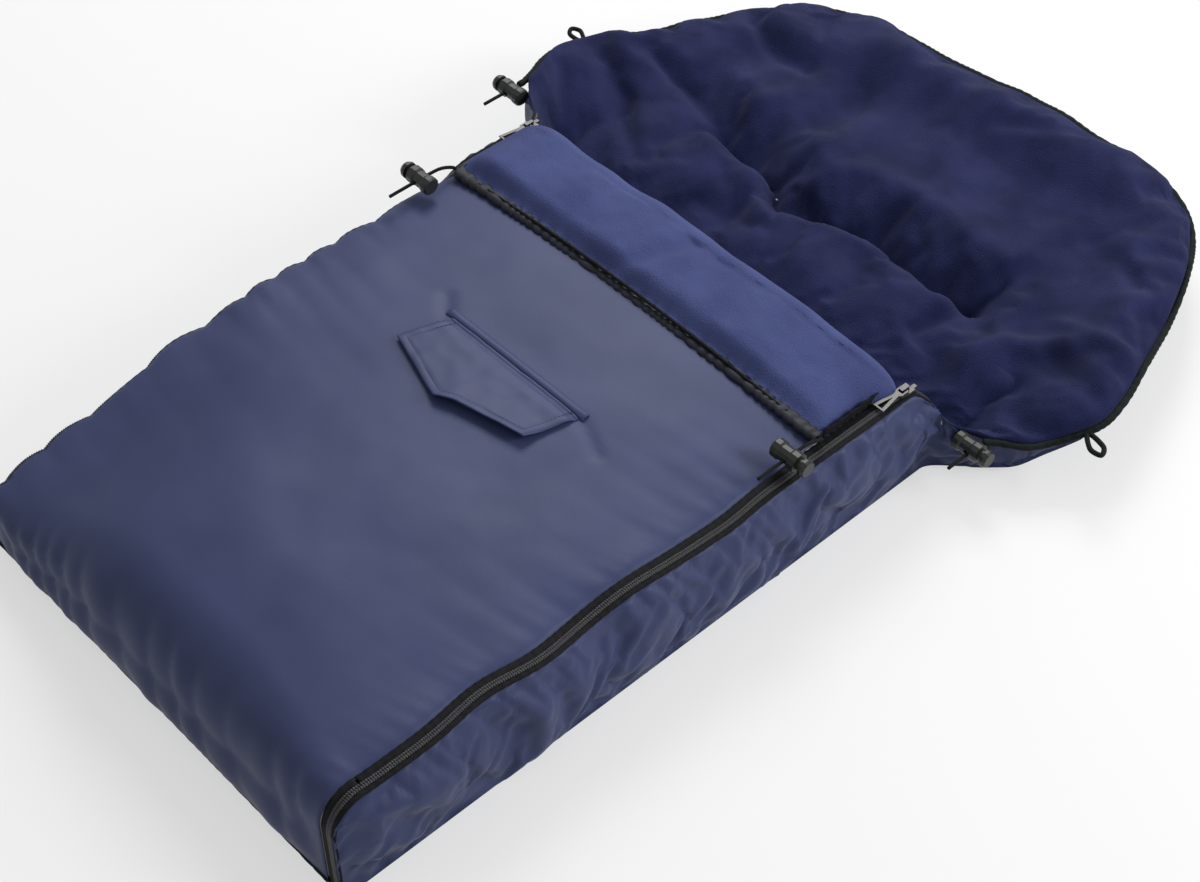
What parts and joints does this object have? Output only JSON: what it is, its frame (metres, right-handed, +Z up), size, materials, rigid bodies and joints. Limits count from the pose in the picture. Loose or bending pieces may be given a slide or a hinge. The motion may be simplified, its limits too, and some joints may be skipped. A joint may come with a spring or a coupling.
{
  "type": "stroller footmuff",
  "caption": "Padded fabric footmuff lying on its back: zipped bag with folded-back fleece cuff, flap pocket, and open hood with harness slots, drawcords and cord locks.",
  "frame": {"origin": "middle of the floor area that the footmuff covers as it lies on its back", "axes": "+Z up, +Y from the foot end to the hood, +X to the right of someone who looks that way"},
  "size_m": [0.6739, 0.9496, 0.1178],
  "materials": {
    "shell_fabric": "satin woven polyester",
    "fleece": "matt short pile",
    "wadding": "matt fibre fill",
    "zip_tape": "matt woven tape with coil teeth",
    "binding": "matt ruched binding",
    "cord": "matt round cord",
    "silver_metal": "plated cast metal",
    "toggle_plastic": "moulded",
    "spring_steel": "drawn wire"
  },
  "bodies": {
    "bag": {"back_shell": "shell_fabric", "back_wadding": "wadding", "back_lining": "fleece", "wall_shell_left": "shell_fabric", "wall_shell_right": "shell_fabric", "wall_wadding_left": "wadding", "wall_wadding_right": "wadding", "wall_lining_left": "fleece", "wall_lining_right": "fleece", "zip_tape_wall_left": "zip_tape", "zip_tape_wall_right": "zip_tape", "zip_stop_left": "silver_metal", "zip_stop_right": "silver_metal"},
    "hood": {"hood_shell": "shell_fabric", "hood_wadding": "wadding", "hood_lining": "fleece", "hood_binding": "binding", "hood_drawcord": "cord", "hanging_loop_left": "cord", "hanging_loop_right": "cord", "slot_lining_left": "shell_fabric", "slot_lining_right": "shell_fabric"},
    "foot_panel": {"foot_shell": "shell_fabric", "foot_wadding": "wadding", "foot_lining": "fleece", "zip_tape_foot_left": "zip_tape", "zip_tape_foot_right": "zip_tape"},
    "cover": {"cover_shell": "shell_fabric", "cover_wadding": "wadding", "cover_lining": "fleece", "pocket_pouch": "shell_fabric", "pocket_welt": "shell_fabric", "zip_tape_cover_left": "zip_tape", "zip_tape_cover_right": "zip_tape"},
    "flap": {"pocket_flap": "shell_fabric"},
    "cuff": {"cuff_shell": "shell_fabric", "cuff_wadding": "wadding", "cuff_lining": "fleece", "cuff_hem": "binding", "cuff_drawcord": "cord", "zip_tape_cuff_left": "zip_tape", "zip_tape_cuff_right": "zip_tape"},
    "slider_left": {"slider_left": "silver_metal"},
    "slider_right": {"slider_right": "silver_metal"},
    "pull_left": {"pull_left": "silver_metal"},
    "pull_right": {"pull_right": "silver_metal"},
    "cuff_lock_left": {"cuff_lock_left_barrel": "toggle_plastic", "cuff_lock_left_spring": "spring_steel"},
    "cuff_lock_right": {"cuff_lock_right_barrel": "toggle_plastic", "cuff_lock_right_spring": "spring_steel"},
    "hood_lock_left": {"hood_lock_left_barrel": "toggle_plastic", "hood_lock_left_spring": "spring_steel"},
    "hood_lock_right": {"hood_lock_right_barrel": "toggle_plastic", "hood_lock_right_spring": "spring_steel"},
    "cuff_plunger_left": {"cuff_lock_left_plunger": "toggle_plastic"},
    "cuff_plunger_right": {"cuff_lock_right_plunger": "toggle_plastic"},
    "hood_plunger_left": {"hood_lock_left_plunger": "toggle_plastic"},
    "hood_plunger_right": {"hood_lock_right_plunger": "toggle_plastic"}
  },
  "joints": [
    {"name": "hood_raise", "type": "hinge", "parent": "bag", "child": "hood", "pos_m": [0, 0.125, 0.0303], "axis": [1, 0, 0], "range_deg": [0, 60]},
    {"name": "foot_drop", "type": "hinge", "parent": "bag", "child": "foot_panel", "pos_m": [0, -0.475, 0], "axis": [1, 0, 0], "range_deg": [0, 90]},
    {"name": "cover_lift", "type": "hinge", "parent": "foot_panel", "child": "cover", "pos_m": [0, -0.445, 0.0955], "axis": [1, 0, 0], "range_deg": [0, 90]},
    {"name": "cuff_unfold", "type": "hinge", "parent": "cover", "child": "cuff", "pos_m": [0, 0.07, 0.1006], "axis": [-1, 0, 0], "range_deg": [0, 180]},
    {"name": "flap_lift", "type": "hinge", "parent": "cover", "child": "flap", "pos_m": [0, -0.127, 0.1096], "axis": [-1, 0, 0], "range_deg": [0, 150]},
    {"name": "slider_slide_left", "type": "slide", "parent": "bag", "child": "slider_left", "axis": [0, -1, 0], "range_m": [0, 0.515], "deforming": ["zip_tape_wall_left", "zip_tape_cover_left", "zip_tape_foot_left"]},
    {"name": "slider_slide_right", "type": "slide", "parent": "bag", "child": "slider_right", "axis": [0, -1, 0], "range_m": [0, 0.515], "deforming": ["zip_tape_wall_right", "zip_tape_cover_right", "zip_tape_foot_right"]},
    {"name": "pull_swing_left", "type": "hinge", "parent": "slider_left", "child": "pull_left", "pos_m": [-0.2144, 0.0785, 0.0982], "axis": [-1, 0, 0], "range_deg": [0, 170]},
    {"name": "pull_swing_right", "type": "hinge", "parent": "slider_right", "child": "pull_right", "pos_m": [0.2144, 0.0785, 0.0982], "axis": [-1, 0, 0], "range_deg": [0, 170]},
    {"name": "cuff_lock_slide_left", "type": "slide", "parent": "cuff", "child": "cuff_lock_left", "axis": [0, -1, 0], "range_m": [0, 0.022]},
    {"name": "cuff_lock_slide_right", "type": "slide", "parent": "cuff", "child": "cuff_lock_right", "axis": [0, -1, 0], "range_m": [0, 0.022]},
    {"name": "hood_lock_slide_left", "type": "slide", "parent": "hood", "child": "hood_lock_left", "axis": [0, -1, 0], "range_m": [0, 0.02]},
    {"name": "hood_lock_slide_right", "type": "slide", "parent": "hood", "child": "hood_lock_right", "axis": [0, -1, 0], "range_m": [0, 0.02]},
    {"name": "cuff_lock_press_left", "type": "slide", "parent": "cuff_lock_left", "child": "cuff_plunger_left", "axis": [1, 0, 0], "range_m": [0, 0.004], "stiffness_N_per_m": 300, "deforming": ["cuff_lock_left_spring"]},
    {"name": "cuff_lock_press_right", "type": "slide", "parent": "cuff_lock_right", "child": "cuff_plunger_right", "axis": [-1, 0, 0], "range_m": [0, 0.004], "stiffness_N_per_m": 300, "deforming": ["cuff_lock_right_spring"]},
    {"name": "hood_lock_press_left", "type": "slide", "parent": "hood_lock_left", "child": "hood_plunger_left", "axis": [1, 0, 0], "range_m": [0, 0.004], "stiffness_N_per_m": 300, "deforming": ["hood_lock_left_spring"]},
    {"name": "hood_lock_press_right", "type": "slide", "parent": "hood_lock_right", "child": "hood_plunger_right", "axis": [-1, 0, 0], "range_m": [0, 0.004], "stiffness_N_per_m": 300, "deforming": ["hood_lock_right_spring"]}
  ]
}
